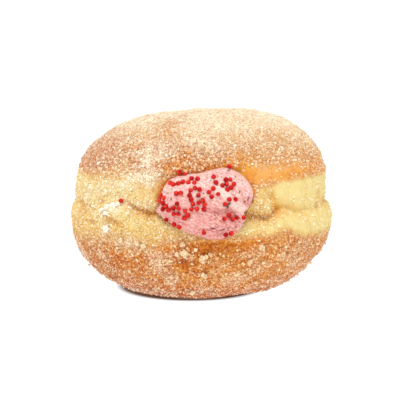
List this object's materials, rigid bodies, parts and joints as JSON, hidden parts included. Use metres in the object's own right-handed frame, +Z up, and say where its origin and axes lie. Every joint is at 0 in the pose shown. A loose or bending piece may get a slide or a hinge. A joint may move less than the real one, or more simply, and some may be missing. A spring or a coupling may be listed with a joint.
{
  "type": "cream filled doughnut",
  "caption": "Round sugared yeast doughnut slit open along its front, with pink cream bulging out of the slit and red sugar pearls on the cream.",
  "frame": {"origin": "middle of the flat spot that the doughnut rests on", "axes": "+Z up; the slit with the cream faces -Y; +X is to the right seen from the slit's side"},
  "size_m": [0.0877, 0.0909, 0.0611],
  "materials": {
    "fried_dough": "golden brown fried crust with a pale yellow band round the seam, rough with coarse sugar",
    "pink_cream": "soft pink cream with small dark seeds and a slight sheen",
    "sugar": "pale sugar crystals and lumps",
    "sugar_pearl": "glossy red sugar pearl"
  },
  "bodies": {
    "root": {"dough": "fried_dough", "cream": "pink_cream"}
  },
  "joints": []
}
